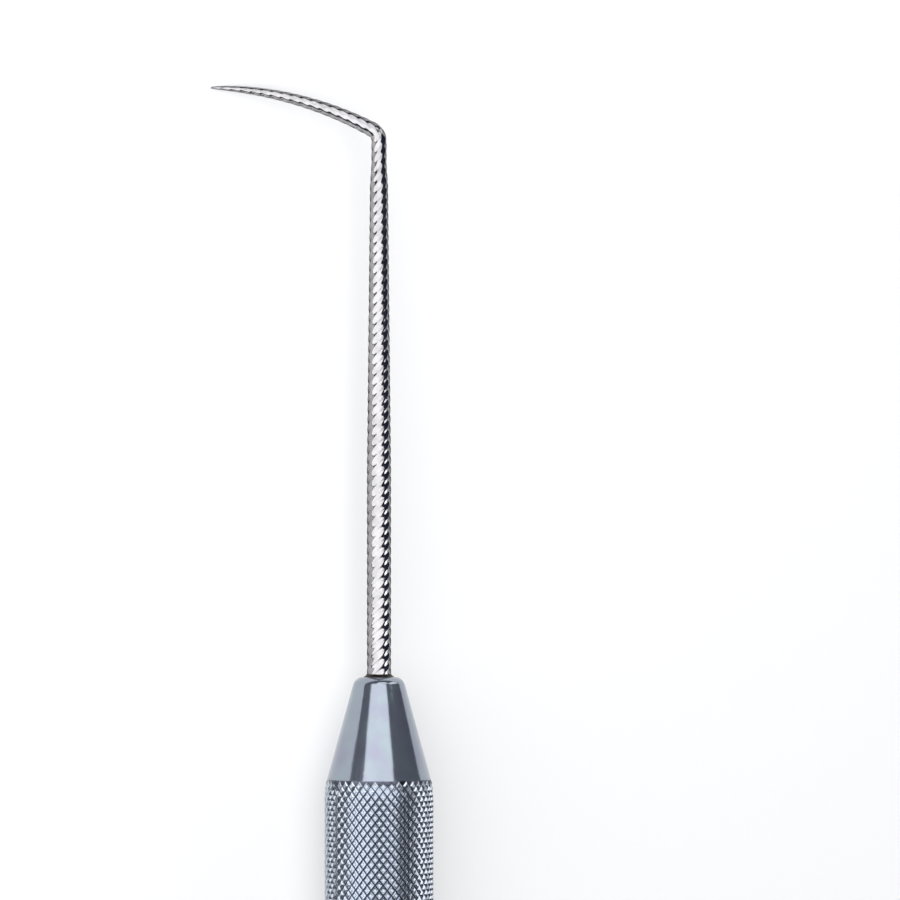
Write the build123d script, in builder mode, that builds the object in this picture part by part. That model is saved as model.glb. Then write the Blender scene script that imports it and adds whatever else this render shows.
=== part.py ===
from build123d import *
import os
from math import asin, atan, atan2, cos, hypot, pi, radians, sin, sqrt, tan

# A double-ended dental explorer: a knurled handle with a fine sickle-shaped tine in each end.
# All lengths are in millimetres. The handle's axis is the Y axis, with the middle of the handle
# at the origin. The long tine stands at the +Y end and the short one at the -Y end, and both
# hooks lie in one plane through the axis, on the -X side. The explorer lies on its side as it
# does on a tray: on the handle, rolled over until the tip of the long hook touches the tray.

# Handle: one turned bar with a cone at each end
handle_diameter = 6.35
handle_length = 105.0
nose_face_diameter = 2.75
nose_length = 6.55
nose_edge_radius = 0.55
shoulder_radius = 4.5

# Grips: grooves wind round the bar both ways, at knurl_angle to its axis, and leave rows of
# small pyramids. Their crests stay crest_drop under the turned surface
grip_length = 28.0
knurl_starts = 20
knurl_angle = 40.0
knurl_depth = 0.2
crest_drop = 0.02
band_chamfer = 0.12

# Sockets drilled in the two noses, with socket_gap all round each tine's root, and the braze
# that fills each socket's countersunk mouth
socket_depth = 8.0
drill_point_angle = 118.0
socket_gap = 0.01
braze_width = 0.22
braze_rise = 0.17

# Both tines: a straight shank that runs in to a thinner neck, a tight elbow, and a long hook
# that thins to the tip
shank_length = 30.95
neck_length = 1.35
neck_run_in = 1.2
neck_round = 3.0
root_chamfer = 0.12
elbow_turn = 62.0
hook_turn = 27.0
hook_sections = 9

# The long tine
long_root_diameter = 1.40
long_parallel_length = 12.0
long_taper_diameter = 1.05
long_neck_diameter = 0.88
long_elbow_radius = 0.75
long_hook_radius = 20.6
long_tip_diameter = 0.10

# The short tine, finer all over and with a shorter hook
short_root_diameter = 1.15
short_parallel_length = 15.0
short_taper_diameter = 0.89
short_neck_diameter = 0.67
short_elbow_radius = 0.60
short_hook_radius = 16.25
short_tip_diameter = 0.08

# Sizes that follow from the ones above
handle_radius = handle_diameter / 2
half_length = handle_length / 2
nose_face_radius = nose_face_diameter / 2
nose_half_angle = atan((handle_radius - nose_face_radius) / nose_length)
groove_radius = handle_radius - knurl_depth
neck_start = shank_length - neck_length
taper_end = neck_start - neck_run_in

# How far from the nose face the round of the shoulder leaves the cone, and where it ends
shoulder_tangent = shoulder_radius * tan(nose_half_angle / 2)
shoulder_start = nose_length - shoulder_tangent * cos(nose_half_angle)
shoulder_end = nose_length + shoulder_tangent
shoulder_centre_radius = handle_radius - shoulder_radius


def turned_radius(distance):
    """The radius of the turned bar at a distance from its nose face."""
    if distance <= shoulder_start:
        return nose_face_radius + distance * tan(nose_half_angle)
    to_bar = max(0, shoulder_end - distance)
    return shoulder_centre_radius + sqrt(shoulder_radius**2 - to_bar**2)


def turned_distance(radius):
    """The distance from the nose face at which the turned bar reaches a radius."""
    on_cone = (radius - nose_face_radius) / tan(nose_half_angle)
    if on_cone <= shoulder_start:
        return on_cone
    return shoulder_end - sqrt(shoulder_radius**2 - (radius - shoulder_centre_radius) ** 2)


# The knurl comes out of the shoulder where the cone is just wider than the floor of its grooves
grip_start = turned_distance(groove_radius + crest_drop)
grip_end = grip_start + grip_length

# The long hook's reach from the shank's axis, and the roll that lays its tip level with the
# bar's side
after_elbow = radians(elbow_turn)
after_hook = radians(elbow_turn + hook_turn)
long_elbow_reach = long_elbow_radius * (1 - cos(after_elbow))
long_reach = long_elbow_reach + long_hook_radius * (cos(after_elbow) - cos(after_hook))
long_tip_radius = long_tip_diameter / 2
roll = asin(handle_radius / hypot(long_reach, long_tip_radius)) - atan2(long_tip_radius, long_reach)

# In each of these planes local X points to the side of the hooks. Local Y runs along the handle,
# in the planes of the two ends out of the nose
hook_side = Vector(-cos(roll), 0, -sin(roll))
along = Vector(0, 1, 0)
bar_plane = Plane((0, 0, 0), x_dir=hook_side, z_dir=hook_side.cross(along))
long_plane = Plane((0, half_length, 0), x_dir=hook_side, z_dir=hook_side.cross(along))
short_plane = Plane((0, -half_length, 0), x_dir=hook_side, z_dir=hook_side.cross(-along))


def knurled_grip(plane):
    """One grip as a shell of flat triangles, four of them to each pyramid of the knurl."""
    columns = 2 * knurl_starts
    pitch = pi * handle_diameter / knurl_starts
    rows = max(2, round(2 * grip_length * tan(radians(knurl_angle)) / pitch))

    def corner(row, column):
        distance = grip_start + grip_length * row / rows
        is_crest = (row + column) % 2 == 0 and 0 < row < rows
        radius = turned_radius(distance) - crest_drop if is_crest else groove_radius
        angle = 2 * pi * column / columns
        return plane.from_local_coords(Vector(radius * cos(angle), -distance, radius * sin(angle)))

    rings = [[corner(row, column) for column in range(columns)] for row in range(rows + 1)]
    outlines = [rings[0], rings[rows]]
    for row in range(rows):
        for column in range(columns):
            beside = (column + 1) % columns
            first, second = rings[row][column], rings[row][beside]
            third, fourth = rings[row + 1][beside], rings[row + 1][column]
            if (row + column) % 2 == 0:
                outlines += [(first, second, fourth), (second, third, fourth)]
            else:
                outlines += [(first, second, third), (first, third, fourth)]
    return Solid(Shell([Face(Wire.make_polygon(outline)) for outline in outlines]))


def tine(plane, root, parallel_length, taper, neck, elbow_radius, hook_radius, tip):
    """One tine, with its root in the socket of the nose whose face lies on the plane."""
    with BuildPart() as blank:
        # The root, the parallel shank, the taper and the neck are ground on one wire
        with BuildSketch(plane) as half_section:
            with BuildLine():
                Polyline(
                    (0, -socket_depth),
                    (root / 2, -socket_depth),
                    (root / 2, parallel_length),
                    (taper / 2, taper_end),
                    (neck / 2, neck_start),
                    (neck / 2, shank_length),
                    (0, shank_length),
                    close=True,
                )
            make_face()
            for corner in ((taper / 2, taper_end), (neck / 2, neck_start)):
                fillet(half_section.vertices().sort_by_distance(corner)[0], neck_round)
            root_end = half_section.vertices().sort_by_distance((root / 2, -socket_depth))[0]
            chamfer(root_end, root_chamfer)
        revolve(axis=Axis(plane.origin, plane.y_dir))

        # The elbow is bent tightly at the neck's full thickness
        with BuildLine(plane):
            elbow = JernArc((0, shank_length), (0, 1), elbow_radius, -elbow_turn)
        with BuildSketch(Plane(elbow @ 0, z_dir=elbow % 0)):
            Circle(neck / 2)
        sweep()

        # The hook thins as a slender paraboloid does, so its thickness falls by equal steps
        # between sections that crowd together towards the tip
        with BuildLine(plane, mode=Mode.PRIVATE):
            hook = JernArc(elbow @ 1, elbow % 1, hook_radius, -hook_turn)
        for step in range(hook_sections):
            thickness = neck + (tip - neck) * step / (hook_sections - 1)
            place = (neck**2 - thickness**2) / (neck**2 - tip**2)
            with BuildSketch(Plane(hook @ place, z_dir=hook % place)):
                Circle(thickness / 2)
        loft()
    return blank.part


def socket(plane, root):
    """The hole for one tine: a countersunk mouth, a bore and the cone that the drill leaves."""
    bore_radius = root / 2 + socket_gap
    mouth_radius = root / 2 + braze_width
    with BuildPart() as hole:
        with BuildSketch(plane):
            with BuildLine():
                Polyline(
                    (0, 0),
                    (mouth_radius, 0),
                    (bore_radius, bore_radius - mouth_radius),
                    (bore_radius, -socket_depth),
                    (0, -socket_depth - bore_radius / tan(radians(drill_point_angle / 2))),
                    close=True,
                )
            make_face()
        revolve(axis=Axis(plane.origin, plane.y_dir))
    return hole.part


def braze_ring(plane, root):
    """The braze in the mouth of one socket, drawn up round the shank in a hollow curve."""
    inner_radius = root / 2 + socket_gap
    outer_radius = root / 2 + braze_width - socket_gap * sqrt(2)
    with BuildPart() as ring:
        with BuildSketch(plane):
            with BuildLine():
                Polyline(
                    (inner_radius, braze_rise),
                    (inner_radius, inner_radius - outer_radius),
                    (outer_radius, 0),
                )
                RadiusArc((outer_radius, 0), (inner_radius, braze_rise), braze_width + braze_rise)
            make_face()
        revolve(axis=Axis(plane.origin, plane.y_dir))
    return ring.part


with BuildPart() as handle:
    with BuildSketch(bar_plane) as half_section:
        with BuildLine():
            Polyline(
                (0, 0),
                (handle_radius, 0),
                (handle_radius, half_length - nose_length),
                (nose_face_radius, half_length),
                (0, half_length),
                close=True,
            )
        make_face()
        shoulder = half_section.vertices().sort_by_distance((handle_radius, half_length - nose_length))[0]
        fillet(shoulder, shoulder_radius)
        rim = half_section.vertices().sort_by_distance((nose_face_radius, half_length))[0]
        fillet(rim, nose_edge_radius)
        with Locations((0, half_length - grip_end)):
            Rectangle(handle_diameter, grip_length, align=Align.MIN, mode=Mode.SUBTRACT)
        band_end = half_section.vertices().sort_by_distance((handle_radius, half_length - grip_end))[0]
        chamfer(band_end, band_chamfer)
        mirror(about=Plane.XZ)
    revolve(axis=Axis.Y)
    add([knurled_grip(long_plane), knurled_grip(short_plane)], clean=False)
    add(
        [socket(long_plane, long_root_diameter), socket(short_plane, short_root_diameter)],
        mode=Mode.SUBTRACT,
        clean=False,
    )

long_tine = tine(
    long_plane,
    long_root_diameter,
    long_parallel_length,
    long_taper_diameter,
    long_neck_diameter,
    long_elbow_radius,
    long_hook_radius,
    long_tip_diameter,
)
short_tine = tine(
    short_plane,
    short_root_diameter,
    short_parallel_length,
    short_taper_diameter,
    short_neck_diameter,
    short_elbow_radius,
    short_hook_radius,
    short_tip_diameter,
)
pieces = {
    "handle": handle.part,
    "long_tine": long_tine,
    "short_tine": short_tine,
    "long_braze": braze_ring(long_plane, long_root_diameter),
    "short_braze": braze_ring(short_plane, short_root_diameter),
}

os.makedirs("parts", exist_ok=True)
for name, piece in pieces.items():
    piece.label = name
    export_step(piece, f"parts/{name}.step")
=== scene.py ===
# %% [markdown]
# A double-ended dental explorer: a knurled steel handle with a fine sickle-shaped tine in each
# end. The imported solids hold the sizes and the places, and this script gives each piece the
# surface that the real one has. The pieces are shaped with modelling operators, as by hand.

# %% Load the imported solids
from math import atan, atan2, ceil, cos, degrees, pi, radians, sin, sqrt, tan

import bmesh
import bpy
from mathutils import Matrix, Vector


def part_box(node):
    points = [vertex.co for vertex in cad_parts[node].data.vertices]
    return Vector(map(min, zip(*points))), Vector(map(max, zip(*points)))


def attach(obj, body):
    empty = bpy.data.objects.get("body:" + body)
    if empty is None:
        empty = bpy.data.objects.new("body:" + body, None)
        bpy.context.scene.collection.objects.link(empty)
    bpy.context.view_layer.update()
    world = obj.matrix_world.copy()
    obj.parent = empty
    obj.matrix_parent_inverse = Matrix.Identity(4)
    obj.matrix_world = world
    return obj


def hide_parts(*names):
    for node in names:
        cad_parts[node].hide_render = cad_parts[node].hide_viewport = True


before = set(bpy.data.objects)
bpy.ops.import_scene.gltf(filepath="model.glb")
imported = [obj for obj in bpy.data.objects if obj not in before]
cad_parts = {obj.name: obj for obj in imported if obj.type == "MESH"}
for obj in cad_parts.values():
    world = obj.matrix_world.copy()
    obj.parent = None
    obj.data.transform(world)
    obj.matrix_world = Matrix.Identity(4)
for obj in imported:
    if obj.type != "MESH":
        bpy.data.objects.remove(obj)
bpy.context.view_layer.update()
print("solids:", ", ".join(sorted(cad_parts)))

# %% [markdown]
# Blender's units are metres here, and a needle tip a tenth of a millimetre thick is smaller than
# the tolerances of several of its tools. So every new piece is modelled with one unit to the
# millimetre, and is shrunk to its real size when it is finished. The sizes below are those of
# the solids. The handle's length and the lie of the hooks are read from the solids.
# NEAR and TINY are how close two places or two sizes must be to count as one.

# %% Sizes in millimetres
MM = 0.001
NEAR = 1e-3
TINY = 1e-4
half_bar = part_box("handle")[1].y / MM
tine_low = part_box("long_tine")[0] / MM
bar_radius = 3.175
tray_height = -bar_radius
nose_face_radius = 1.375
nose_length = 6.55
nose_edge_radius = 0.55
shoulder_radius = 4.5
needle_radius = 0.05
LONG_ROOT = 0.70
SHORT_ROOT = 0.575
hook_roll = atan2(-tine_low.z - needle_radius, -tine_low.x)
print(f"bar {2 * bar_radius:.2f} by {2 * half_bar:.1f} mm, hooks rolled {degrees(hook_roll):.1f} degrees")

# %% [markdown]
# The explorer lies on its side with the tip of its long hook on the tray, so the plane of the
# hooks leans. The camera looks square at that plane, as the photograph does, with the long
# tine upright in the picture and the handle running out of its lower edge. A long lens far
# away keeps the two sides of the handle parallel.

# %% Camera
PIXELS = 900
PIXEL_SIZE = 0.05773
SHANK_COLUMN = 379.0
NOSE_ROW = 677.0
LENS = 300.0
SENSOR = 36.0

across = (PIXELS / 2 - SHANK_COLUMN) * PIXEL_SIZE
along = half_bar + (NOSE_ROW - PIXELS / 2) * PIXEL_SIZE
distance = PIXELS * PIXEL_SIZE * LENS / SENSOR
camera_place = (
    (across * cos(hook_roll) - distance * sin(hook_roll)) * MM,
    along * MM,
    (across * sin(hook_roll) + distance * cos(hook_roll)) * MM,
)
bpy.ops.object.camera_add(location=camera_place, rotation=(0, -hook_roll, 0))
camera = bpy.context.object
camera.name = "camera"
camera.data.lens = LENS
camera.data.sensor_width = SENSOR
camera.data.clip_start = 0.01
bpy.context.scene.camera = camera
bpy.context.scene.view_settings.view_transform = "Standard"
print(f"camera {distance:.0f} mm from the hooks' plane")

# %% [markdown]
# Materials are made of shader nodes. Four small helpers keep each material's cell short.
# They start a material with its plain values, add a node with its inputs, join two sockets, and
# colour a shader in two tints.

# %% Helpers for materials
def new_material(name, metallic, roughness):
    """A material with one Principled shader, and that shader."""
    material = bpy.data.materials.new(name)
    material.use_nodes = True
    shader = material.node_tree.nodes["Principled BSDF"]
    shader.inputs["Metallic"].default_value = metallic
    shader.inputs["Roughness"].default_value = roughness
    return material, shader


def add_node(material, kind, inputs=None, **settings):
    """A new node, with its settings and with each named input set or joined to another node."""
    node = material.node_tree.nodes.new(kind)
    for name, value in settings.items():
        setattr(node, name, value)
    for name, value in (inputs or {}).items():
        if isinstance(value, bpy.types.NodeSocket):
            material.node_tree.links.new(value, node.inputs[name])
        else:
            node.inputs[name].default_value = value
    return node


def join(material, source, target):
    """A link from one socket to another."""
    material.node_tree.links.new(source, target)


def two_tints(material, shader, source, low, high):
    """Colours a shader by a ramp between two tints, each given with its place on the ramp."""
    ramp = add_node(material, "ShaderNodeValToRGB", {"Fac": source})
    for element, (position, colour) in zip(ramp.color_ramp.elements, (low, high)):
        element.position = position
        element.color = colour
    join(material, ramp.outputs["Color"], shader.inputs["Base Color"])


print("helpers ready")

# %% [markdown]
# The tray is a plain white sheet. Its own colour takes the light and keeps the shadow of the
# instrument, and a little glow that the camera and the metal's reflections see lifts it to the
# white of the photograph without any more light on the steel.

# %% Tray
TRAY_SIZE = 6.0
TRAY_GLOW = 0.36

bpy.ops.object.select_all(action="DESELECT")
bpy.ops.mesh.primitive_plane_add(size=TRAY_SIZE, location=(0, 0, tray_height * MM))
tray = bpy.context.object
tray.name = "tray"
tray_paper, tray_shader = new_material("tray_paper", 0.0, 0.9)
tray_shader.inputs["Base Color"].default_value = (0.64, 0.64, 0.64, 1)
tray_shader.inputs["Specular IOR Level"].default_value = 0.0
tray_shader.inputs["Emission Color"].default_value = (1, 1, 1, 1)
path = add_node(tray_paper, "ShaderNodeLightPath")
seen = add_node(tray_paper, "ShaderNodeMath", {0: path.outputs["Is Camera Ray"],
                                               1: path.outputs["Is Glossy Ray"]}, operation="ADD")
seen = add_node(tray_paper, "ShaderNodeMath", {0: seen.outputs[0],
                                               1: path.outputs["Is Transmission Ray"]}, operation="ADD")
glow = add_node(tray_paper, "ShaderNodeMath", {0: seen.outputs[0], 1: TRAY_GLOW}, operation="MULTIPLY")
join(tray_paper, glow.outputs[0], tray_shader.inputs["Emission Strength"])
tray.data.materials.append(tray_paper)
print("tray at", round(tray_height, 3), "mm")

# %% [markdown]
# A polished rod is a mirror, and shows each lamp as a streak along it. Flat panels overhead give
# streaks with clean edges. A broad one over the tines makes their bright side, and a small one
# low on the right makes the row of small glints. One beyond the nose puts the highlight on the
# cone, and three more light the flanks of the knurl. The room stays dark, so the metal keeps its
# contrast. Together they light the long end, which the picture shows, at about a plain level.
# The light falls off along the handle, to about half of that at the short end.

# %% Lamps
def panel(name, angle, reach, along_handle, size, radiance):
    """A flat soft lamp that hangs square to the handle's axis, and faces it.

    The angle is measured round the handle from the camera's side, positive to the right."""
    data = bpy.data.lights.new(name, "AREA")
    data.shape = "RECTANGLE"
    data.size = size[0] * MM
    data.size_y = size[1] * MM
    data.energy = radiance * pi * data.size * data.size_y
    lamp = bpy.data.objects.new(name, data)
    bpy.context.collection.objects.link(lamp)
    lean = radians(angle) - hook_roll
    lamp.location = (reach * sin(lean) * MM, along_handle * MM, reach * cos(lean) * MM)
    lamp.rotation_euler = (0, lean, 0)
    lamp.visible_camera = False
    return lamp


panel("panel_tines", -13, 150, 56, (400, 120), 2.42)
panel("panel_glints", 88, 200, -3, (110, 74), 3.51)
panel("panel_nose", -1, 150, 160, (225, 84), 1.87)
panel("panel_end", 20, 120, 241, (138, 138), 1.72)
panel("panel_side", 80, 150, 195, (128, 90), 1.72)
panel("panel_foot", -42, 120, -137, (100, 105), 1.4)
world = bpy.data.worlds.new("room")
bpy.context.scene.world = world
world.use_nodes = True
world.node_tree.nodes["Background"].inputs["Color"].default_value = (0.025, 0.035, 0.062, 1)

# %% [markdown]
# An operator works on what is selected. These helpers open one piece in edit mode, select parts
# of it by a test on their place, and put a finished piece at its real size.

# %% Helpers for modelling
def open_piece(piece, mode="VERT"):
    """Opens one piece in edit mode with nothing selected."""
    bpy.ops.object.select_all(action="DESELECT")
    piece.select_set(True)
    bpy.context.view_layer.objects.active = piece
    bpy.ops.object.mode_set(mode="EDIT")
    bpy.ops.mesh.select_mode(type=mode)
    bpy.ops.mesh.select_all(action="DESELECT")


def select(piece, kind, test):
    """Selects the verts, edges or faces of the open piece that pass a test, and only those."""
    bpy.ops.mesh.select_all(action="DESELECT")
    bpy.ops.mesh.select_mode(type={"verts": "VERT", "edges": "EDGE", "faces": "FACE"}[kind])
    mesh = bmesh.from_edit_mesh(piece.data)
    chosen = [part for part in getattr(mesh, kind) if test(part)]
    for part in chosen:
        part.select_set(True)
    bmesh.update_edit_mesh(piece.data)
    return len(chosen)


def on_ring(height):
    """A test for edges that lie in the ring round the Y axis at one height."""
    return lambda edge: all(abs(vert.co.y - height) < NEAR for vert in edge.verts)


def close_piece(piece):
    """Merges doubles, turns faces outwards and leaves edit mode."""
    bpy.ops.mesh.select_all(action="SELECT")
    bpy.ops.mesh.remove_doubles(threshold=TINY)
    bpy.ops.mesh.normals_make_consistent(inside=False)
    bpy.ops.object.mode_set(mode="OBJECT")
    return len(piece.data.polygons)


def finish_piece(piece, smooth_angle, node):
    """Shrinks the piece to its real size, smooths it and lets it stand for its solid."""
    piece.scale = (MM, MM, MM)
    bpy.ops.object.transform_apply(location=True, rotation=True, scale=True)
    bpy.ops.object.shade_smooth_by_angle(angle=smooth_angle)
    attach(piece, "root")
    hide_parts(node)


print("modelling helpers ready")

# %% [markdown]
# The handle is turned from one bar. A cylinder of the bar's size is cut across where the noses
# begin, its ends are drawn in to the nose faces, and the corners that the turner rounds are
# bevelled round. Eighty sides are enough for a smooth outline, and they give the knurl forty
# starts, about as many as the photograph shows.

# %% Turned bar with its two noses
STARTS = 40
COLUMNS = 2 * STARTS
nose_half_angle = atan((bar_radius - nose_face_radius) / nose_length)
shoulder_tangent = shoulder_radius * tan(nose_half_angle / 2)
nose_edge_tangent = nose_edge_radius * tan((pi / 2 - nose_half_angle) / 2)
shoulder_y = half_bar - nose_length

bpy.ops.object.select_all(action="DESELECT")
bpy.ops.mesh.primitive_cylinder_add(
    vertices=COLUMNS, radius=bar_radius, depth=2 * half_bar, end_fill_type="NGON", rotation=(pi / 2, 0, 0)
)
handle = bpy.context.object
handle.name = "handle_bar"
bpy.ops.object.transform_apply(rotation=True)
open_piece(handle)
for side in (1, -1):
    bpy.ops.mesh.select_all(action="SELECT")
    bpy.ops.mesh.bisect(plane_co=(0, side * shoulder_y, 0), plane_no=(0, 1, 0))
    select(handle, "verts", lambda vert: side * vert.co.y > half_bar - NEAR)
    shrink = nose_face_radius / bar_radius
    bpy.ops.transform.resize(value=(shrink, 1, shrink), center_override=(0, 0, 0))
for side in (1, -1):
    select(handle, "edges", on_ring(side * shoulder_y))
    bpy.ops.mesh.bevel(offset=shoulder_tangent, segments=6, profile=0.5, affect="EDGES")
    select(handle, "edges", on_ring(side * half_bar))
    bpy.ops.mesh.bevel(offset=nose_edge_tangent, segments=8, profile=0.5, affect="EDGES")
print("turned bar:", close_piece(handle), "faces")

# %% [markdown]
# Each nose is drilled for its tine, with a countersunk mouth that holds the braze. The flat end
# face is inset to the mouth, pushed in as the countersink, the bore and the cone that the
# drill leaves, and the last ring is drawn together into the drill's point.

# %% Drilled sockets
BORE_GAP = 0.01
BRAZE_WIDTH = 0.22
SOCKET_DEPTH = 8.0
DRILL_HALF_ANGLE = radians(59)


def push_in(side, depth, radius, was_radius):
    """Extrudes the selected end face into the nose and draws it to a new radius."""
    bpy.ops.mesh.extrude_region_move(TRANSFORM_OT_translate={"value": (0, -side * depth, 0)})
    ratio = radius / was_radius
    bpy.ops.transform.resize(value=(ratio, 1, ratio), center_override=(0, 0, 0))


flat_radius = nose_face_radius - nose_edge_tangent
open_piece(handle, "FACE")
for side, root_radius in ((1, LONG_ROOT), (-1, SHORT_ROOT)):
    mouth_radius = root_radius + BRAZE_WIDTH
    bore_radius = root_radius + BORE_GAP
    select(handle, "faces", lambda face: side * face.calc_center_median().y > half_bar - NEAR)
    bpy.ops.mesh.extrude_region_move()
    shrink = mouth_radius / flat_radius
    bpy.ops.transform.resize(value=(shrink, 1, shrink), center_override=(0, 0, 0))
    push_in(side, mouth_radius - bore_radius, bore_radius, mouth_radius)
    push_in(side, SOCKET_DEPTH - (mouth_radius - bore_radius), bore_radius, bore_radius)
    push_in(side, bore_radius / tan(DRILL_HALF_ANGLE), bore_radius, bore_radius)
    bpy.ops.mesh.merge(type="CENTER")
print("with sockets:", close_piece(handle), "faces")

# %% [markdown]
# The grips are knurled: two wheels roll crossing grooves into the bar and raise a lattice of
# little pyramids. A bump texture would lose the ragged outline and the hard glints, so each
# pyramid is modelled. The plain wall of each grip is taken out, and the gap is bridged with
# rows of faces along the floor of the grooves. Then every other point of that lattice is
# lifted as a crest, and each crest is cut flat by a bevel.

# %% Knurled grips
GRIP_START = 5.895
GRIP_LENGTH = 28.0
KNURL_ANGLE = radians(40)
KNURL_DEPTH = 0.2
CREST_FLAT = 0.14
CREST_RAISE = 0.06
BAND_CHAMFER = 0.12
FLOOR_NEAR = 5e-3
CREST_CLEAR = 1e-2
CUT_SNAP = 1e-5
groove_radius = bar_radius - KNURL_DEPTH
knurl_pitch = 2 * pi * bar_radius / STARTS
ROWS = 2 * round(GRIP_LENGTH * tan(KNURL_ANGLE) / knurl_pitch)
shoulder_end = nose_length + shoulder_tangent


def turned_radius(from_face):
    """The radius of the turned bar at a distance from its nose face."""
    if from_face < shoulder_end - shoulder_radius * sin(nose_half_angle):
        return nose_face_radius + from_face * tan(nose_half_angle)
    to_bar = max(0.0, shoulder_end - from_face)
    return bar_radius - shoulder_radius + sqrt(shoulder_radius**2 - to_bar**2)


grip_start = GRIP_START
grip_end = grip_start + GRIP_LENGTH
row_step = GRIP_LENGTH / ROWS


def grip_span(side):
    """The two ends of one grip along the bar, the lower one first."""
    return sorted((side * (half_bar - grip_start), side * (half_bar - grip_end)))


def in_grip(side):
    """A test for the faces of one grip's lattice."""
    low, high = grip_span(side)
    return lambda face: (
        all(low - NEAR < vert.co.y < high + NEAR for vert in face.verts)
        and face.calc_center_median().xz.length > bar_radius / 2
    )


def lattice_place(vert, side):
    """The row and the column of a point of the knurl's lattice."""
    row = round((half_bar - side * vert.co.y - grip_start) / row_step)
    column = round(atan2(vert.co.z, vert.co.x) / (2 * pi) * COLUMNS)
    return row, column


def knurl(side):
    """Cuts one grip into the bar at one end."""
    start_y, end_y = side * (half_bar - grip_start), side * (half_bar - grip_end)
    chamfer_y = end_y - side * BAND_CHAMFER
    for height in (start_y, end_y, chamfer_y):
        bpy.ops.mesh.select_all(action="SELECT")
        bpy.ops.mesh.bisect(plane_co=(0, height, 0), plane_no=(0, 1, 0), threshold=CUT_SNAP)
    low, high = grip_span(side)
    select(handle, "faces", lambda face: low < face.calc_center_median().y < high
           and face.normal.xz.length > 0.5 and face.calc_center_median().xz.length > bar_radius / 2)
    bpy.ops.mesh.delete(type="FACE")
    select(handle, "verts", lambda vert: abs(vert.co.y - end_y) < NEAR)
    shrink = (bar_radius - BAND_CHAMFER) / bar_radius
    bpy.ops.transform.resize(value=(shrink, 1, shrink), center_override=(0, 0, 0))
    for height, was_radius in ((start_y, turned_radius(grip_start)), (end_y, bar_radius - BAND_CHAMFER)):
        select(handle, "edges", lambda edge: on_ring(height)(edge) and edge.verts[0].co.xz.length > 2)
        bpy.ops.mesh.extrude_region_move()
        ratio = groove_radius / was_radius
        bpy.ops.transform.resize(value=(ratio, 1, ratio), center_override=(0, 0, 0))
    rims = (start_y, end_y)
    select(handle, "edges", lambda edge: any(on_ring(height)(edge) for height in rims)
           and all(abs(vert.co.xz.length - groove_radius) < FLOOR_NEAR for vert in edge.verts))
    bpy.ops.mesh.bridge_edge_loops(number_cuts=ROWS - 1, interpolation="LINEAR")


def is_crest(vert, side):
    """True for every other inner point of one grip's lattice."""
    row, column = lattice_place(vert, side)
    on_floor = abs(vert.co.xz.length - groove_radius) < FLOOR_NEAR
    return on_floor and 0 < row < ROWS and (row + column) % 2 == 0


open_piece(handle)
for side in (1, -1):
    knurl(side)
    crest_radius = bar_radius + CREST_RAISE
    for row in range(1, ROWS):
        from_face = grip_start + row * row_step
        if turned_radius(from_face) < bar_radius - TINY:
            select(handle, "verts", lambda vert: is_crest(vert, side)
                   and lattice_place(vert, side)[0] == row)
            ratio = (turned_radius(from_face) + CREST_RAISE) / groove_radius
            bpy.ops.transform.resize(value=(ratio, 1, ratio), center_override=(0, 0, 0))
    crests = select(handle, "verts", lambda vert: is_crest(vert, side))
    ratio = crest_radius / groove_radius
    bpy.ops.transform.resize(value=(ratio, 1, ratio), center_override=(0, 0, 0))
    lattice = select(handle, "faces", in_grip(side))
    bpy.ops.mesh.quads_convert_to_tris(quad_method="SHORTEST_DIAGONAL")
    low, high = grip_span(side)
    flats = select(handle, "verts", lambda vert: low + NEAR < vert.co.y < high - NEAR
                   and vert.co.xz.length > groove_radius + CREST_CLEAR)
    bpy.ops.mesh.bevel(offset=CREST_FLAT, segments=1, affect="VERTICES")
    print(f"grip at {side:+d}: {lattice} lattice faces, {crests} crests raised, {flats} cut flat")
faces = close_piece(handle)
widest = max(vert.co.xz.length for vert in handle.data.vertices)
print(f"knurled bar: {faces} faces, {2 * widest:.2f} mm across")

# %% [markdown]
# Rows of teeth and dots run along the tines in the photograph. They are read here as glints on
# fine spiral ridges, such as grinding between wheels may leave. A thread on a tapered and bent
# wire is hard to model in place, so it is made in three steps. A straight rod gets a section
# with six low lobes, a twist winds the lobes into ridges, and then the rod is laid along a curve
# that bends it and thins it at the same time.

# %% Lobed rod
LOBES = 6
LOBE_POINTS = 8
RIDGE_LEAD = 3.5
RIDGE_DEPTH = 0.05


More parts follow.
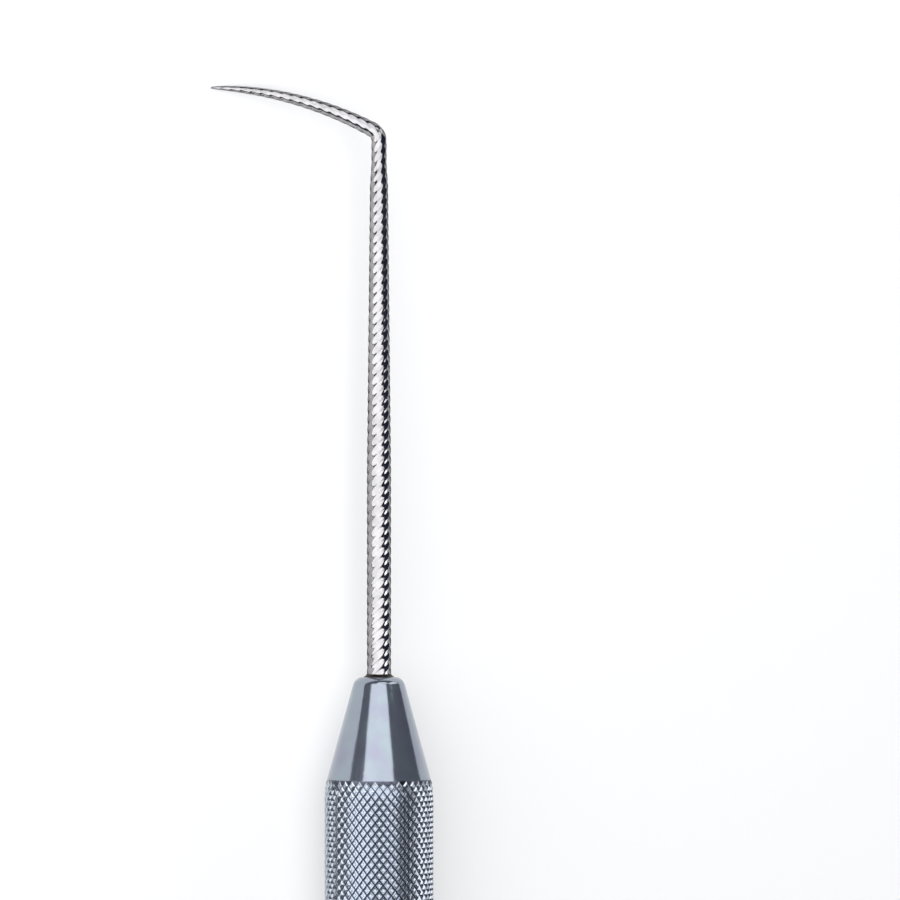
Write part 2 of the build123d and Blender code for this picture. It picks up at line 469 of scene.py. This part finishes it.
def lobed_rod(name, length, lead):
    """A rod of one unit radius along +Y with twisted lobes, which wind once in each lead."""
    bpy.ops.object.select_all(action="DESELECT")
    bpy.ops.mesh.primitive_cylinder_add(
        vertices=LOBES * LOBE_POINTS, radius=1, depth=length,
        rotation=(pi / 2, 0, 0), location=(0, length / 2, 0),
    )
    rod = bpy.context.object
    rod.name = name
    bpy.ops.object.transform_apply(location=True, rotation=True)
    open_piece(rod)
    for step in range(1, LOBE_POINTS):
        angle = 2 * pi / (LOBES * LOBE_POINTS)
        select(rod, "verts", lambda vert: round(atan2(vert.co.z, vert.co.x) / angle) % LOBE_POINTS == step)
        sunk = 1 - RIDGE_DEPTH * (1 - cos(2 * pi * step / LOBE_POINTS)) / 2
        bpy.ops.transform.resize(value=(sunk, 1, sunk), center_override=(0, 0, 0))
    cuts = ceil(sqrt(length / abs(lead) * LOBES * LOBE_POINTS)) - 1
    for _ in range(2):
        select(rod, "edges", lambda edge: abs(edge.verts[0].co.y - edge.verts[1].co.y) > TINY)
        bpy.ops.mesh.subdivide(number_cuts=cuts)
    bpy.ops.object.mode_set(mode="OBJECT")
    bpy.ops.object.modifier_add(type="SIMPLE_DEFORM")
    twist = rod.modifiers[-1]
    twist.deform_method = "TWIST"
    twist.deform_axis = "Y"
    twist.angle = 2 * pi * length / lead
    bpy.ops.object.modifier_apply(modifier=twist.name)
    print(name, "has", len(rod.data.vertices), "points before it is bent")
    return rod


# %% [markdown]
# The curve follows the middle of the wire: straight out of the socket, through the taper and
# the neck, round the tight elbow and along the long arc of the hook. Each of its points carries
# the wire's radius there. The hook thins as a slender paraboloid does, so points at equal steps
# of thickness crowd together towards the needle tip.

# %% Path of a tine
SHANK_LENGTH = 30.95
NECK_LENGTH = 1.35
NECK_RUN_IN = 1.2
ELBOW_TURN = radians(62)
HOOK_TURN = radians(27)
HOOK_STEPS = 8
WIRE_SMOOTH = radians(40)


def tine_legs(root, parallel, taper, neck, elbow_radius, hook_radius, tip):
    """The legs of one tine: length, turn and the wire's radius at the end of each."""
    taper_length = SHANK_LENGTH - NECK_LENGTH - NECK_RUN_IN - parallel
    legs = [
        (SOCKET_DEPTH + parallel, 0, root),
        (taper_length, 0, taper),
        (NECK_RUN_IN, 0, neck),
        (NECK_LENGTH, 0, neck),
        (elbow_radius * ELBOW_TURN, ELBOW_TURN, neck),
    ]
    was_place = 0
    for step in range(1, HOOK_STEPS + 1):
        radius = neck + (tip - neck) * step / HOOK_STEPS
        place = (neck**2 - radius**2) / (neck**2 - tip**2)
        turn = HOOK_TURN * (place - was_place)
        legs.append((hook_radius * turn, turn, radius))
        was_place = place
    return legs


def tine_curve(name, side, legs):
    """A curve along the middle of one tine, from the foot of its socket to its tip."""
    data = bpy.data.curves.new(name, "CURVE")
    data.dimensions = "3D"
    data.resolution_u = 24
    spline = data.splines.new("BEZIER")
    spline.bezier_points.add(len(legs))
    spline.radius_interpolation = "LINEAR"
    hook_side = Vector((-cos(hook_roll), 0, -sin(hook_roll)))
    outward = Vector((0, side, 0))
    place = outward * (half_bar - SOCKET_DEPTH)
    heading, wire = 0.0, legs[0][2]
    before = 0.0
    for index, point in enumerate(spline.bezier_points):
        ahead = outward * cos(heading) + hook_side * sin(heading)
        length, turn, next_wire = legs[index] if index < len(legs) else (0, 0, wire)
        reach = length / 3
        if turn:
            reach = length / turn * 4 / 3 * tan(turn / 4)
        point.co = place
        point.radius = wire
        point.handle_left_type = point.handle_right_type = "FREE"
        point.handle_left = place - ahead * (before or reach)
        point.handle_right = place + ahead * (reach or before)
        middle = outward * cos(heading + turn / 2) + hook_side * sin(heading + turn / 2)
        chord = length / turn * 2 * sin(turn / 2) if turn else length
        place = place + middle * chord
        heading += turn
        wire, before = next_wire, reach
    path = bpy.data.objects.new(name, data)
    bpy.context.collection.objects.link(path)
    return path


def tine(name, node, side, **sizes):
    """One tine, from its rod to its finished mesh."""
    legs = tine_legs(**sizes)
    length = sum(leg[0] for leg in legs)
    rod = lobed_rod(name, length, side * RIDGE_LEAD)
    path = tine_curve(name + "_path", side, legs)
    bpy.ops.object.modifier_add(type="CURVE")
    bend = rod.modifiers[-1]
    bend.object = path
    bend.deform_axis = "POS_Y"
    bpy.ops.object.modifier_apply(modifier=bend.name)
    bpy.data.objects.remove(path)
    open_piece(rod)
    close_piece(rod)
    low = [min(vert.co[axis] for vert in rod.data.vertices) for axis in range(3)]
    high = [max(vert.co[axis] for vert in rod.data.vertices) for axis in range(3)]
    print(name, "from", [round(v, 2) for v in low], "to", [round(v, 2) for v in high])
    finish_piece(rod, WIRE_SMOOTH, node)
    return rod


long_wire = tine(
    "long_wire", "long_tine", 1, root=LONG_ROOT, parallel=12.0, taper=0.525, neck=0.44,
    elbow_radius=0.75, hook_radius=20.6, tip=needle_radius,
)
short_wire = tine(
    "short_wire", "short_tine", -1, root=SHORT_ROOT, parallel=15.0, taper=0.445, neck=0.335,
    elbow_radius=0.60, hook_radius=16.25, tip=0.04,
)

# %% [markdown]
# The cones and the middle band are turned and polished steel that has gone slate blue with use.
# The metal is mottled in two faint tints. Fine tool rings and slow waves keep the edges of its
# highlights from being dead straight. They are far too shallow to change the outline, so a bump
# in the material is enough for them.

# %% Steel of the handle
handle_steel, shader = new_material("handle_steel", 0.8, 0.2)
place = add_node(handle_steel, "ShaderNodeTexCoord").outputs["Object"]
mottle = add_node(handle_steel, "ShaderNodeTexNoise", {"Vector": place, "Scale": 900.0, "Detail": 4.0})
two_tints(handle_steel, shader, mottle.outputs["Fac"],
          (0.35, (0.307, 0.318, 0.397, 1)), (0.65, (0.32, 0.378, 0.417, 1)))
rings = add_node(handle_steel, "ShaderNodeMapping", {"Vector": place, "Scale": (300, 9000, 300)})
turning = add_node(handle_steel, "ShaderNodeTexNoise", {"Vector": rings.outputs["Vector"], "Scale": 1.0})
relief = add_node(handle_steel, "ShaderNodeBump", {"Height": turning.outputs["Fac"], "Strength": 0.1,
                                                   "Distance": 0.00002})
waves = add_node(handle_steel, "ShaderNodeBump", {"Height": mottle.outputs["Fac"], "Strength": 1.0,
                                                  "Distance": 0.000015, "Normal": relief.outputs["Normal"]})
join(handle_steel, waves.outputs["Normal"], shader.inputs["Normal"])
satin = add_node(handle_steel, "ShaderNodeMapRange", {"Value": mottle.outputs["Fac"], "To Min": 0.1,
                                                      "To Max": 0.17})
join(handle_steel, satin.outputs["Result"], shader.inputs["Roughness"])
handle.data.materials.append(handle_steel)

# %% [markdown]
# Rolling leaves the flat crests with the bar's slate tint and the flanks bare and bright. The
# grooves are painted near black, a painted shade in the hollows of the knurl. A texture laid over
# the grip can't follow them, so each point of the mesh stores how high it stands between the
# groove and the turned surface, and that number drives the colour. The plain rims of a grip
# count as groove, so they are painted darker too, a painted shade.

# %% Steel of the knurl
# The grooves' colour is a painted shade: near black at the foot of the knurl's ramp.
GROOVE_PAINTED_SHADE = (0.019, 0.023, 0.045, 1)
FLANK_COLOUR = (0.577, 0.615, 0.679, 1)
FLAT_COLOUR = (0.32, 0.359, 0.41, 1)
# The plain rims of a grip take this low height, which paints them darker, a painted shade.
RIM_PAINTED_SHADE_HEIGHT = 0.04
HANDLE_SMOOTH = radians(20)

knurl_steel_and_groove_shade, shader = new_material("knurl_steel_and_groove_shade", 0.9, 0.18)
heights = handle.data.attributes.new("relief", "FLOAT", "POINT")
for vert, value in zip(handle.data.vertices, heights.data):
    from_face = half_bar - abs(vert.co.y)
    row = (from_face - grip_start) / row_step
    on_lattice = 0.5 < row < ROWS - 0.5 and vert.co.xz.length > bar_radius / 2
    rise = vert.co.xz.length - groove_radius
    value.value = rise / (turned_radius(from_face) - groove_radius) if on_lattice else RIM_PAINTED_SHADE_HEIGHT
height = add_node(knurl_steel_and_groove_shade, "ShaderNodeAttribute", attribute_name="relief")
tint = add_node(knurl_steel_and_groove_shade, "ShaderNodeValToRGB", {"Fac": height.outputs["Fac"]})
for position, colour in ((0.3, FLANK_COLOUR), (0.62, FLANK_COLOUR), (0.75, FLAT_COLOUR)):
    tint.color_ramp.elements.new(position).color = colour
# The groove end of the ramp is painted shade.
tint.color_ramp.elements[0].color = GROOVE_PAINTED_SHADE
tint.color_ramp.elements[4].color = FLAT_COLOUR
join(knurl_steel_and_groove_shade, tint.outputs["Color"], shader.inputs["Base Color"])
handle.data.materials.append(knurl_steel_and_groove_shade)
open_piece(handle, "FACE")
handle.active_material_index = 1
for side in (1, -1):
    print("knurl faces:", select(handle, "faces", in_grip(side)))
    bpy.ops.object.material_slot_assign()
bpy.ops.object.mode_set(mode="OBJECT")
finish_piece(handle, HANDLE_SMOOTH, "handle")

# %% [markdown]
# The tines are hard wire, ground and polished to a mirror, so their tone comes from what they
# reflect. The steel itself is an even grey with faint clouds. A black edge tint makes the
# mirror darken where the wire turns away from the eye.

# %% Steel of the tines
tine_steel, shader = new_material("tine_steel", 1.0, 0.14)
shader.inputs["Specular Tint"].default_value = (0.0, 0.0, 0.0, 1)
place = add_node(tine_steel, "ShaderNodeTexCoord").outputs["Object"]
cloud = add_node(tine_steel, "ShaderNodeTexNoise", {"Vector": place, "Scale": 1500.0, "Detail": 3.0})
two_tints(tine_steel, shader, cloud.outputs["Fac"],
          (0.3, (0.308, 0.301, 0.308, 1)), (0.6, (0.397, 0.388, 0.397, 1)))
polish = add_node(tine_steel, "ShaderNodeMapRange", {"Value": cloud.outputs["Fac"], "To Min": 0.1,
                                                     "To Max": 0.2})
join(tine_steel, polish.outputs["Result"], shader.inputs["Roughness"])
for wire in (long_wire, short_wire):
    wire.data.materials.append(tine_steel)

# %% [markdown]
# The braze's rings are coloured a grainy black brown, partly the dark of the braze itself and
# partly a painted shade in the mouth of each socket. Its two rings come straight from the solids,
# since a turned ring has no more shape than they hold, and get only their metal.

# %% Braze
braze_and_socket_shade, shader = new_material("braze_and_socket_shade", 0.8, 0.5)
place = add_node(braze_and_socket_shade, "ShaderNodeTexCoord").outputs["Object"]
grain = add_node(braze_and_socket_shade, "ShaderNodeTexNoise", {"Vector": place, "Scale": 6000.0, "Detail": 4.0})
# These near black tints also paint the shade in the mouth of each socket.
two_tints(braze_and_socket_shade, shader, grain.outputs["Fac"],
          (0.35, (0.008, 0.0064, 0.0064, 1)), (0.7, (0.045, 0.035, 0.028, 1)))
for node in ("long_braze", "short_braze"):
    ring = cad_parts[node]
    ring.data.materials.clear()
    ring.data.materials.append(braze_and_socket_shade)
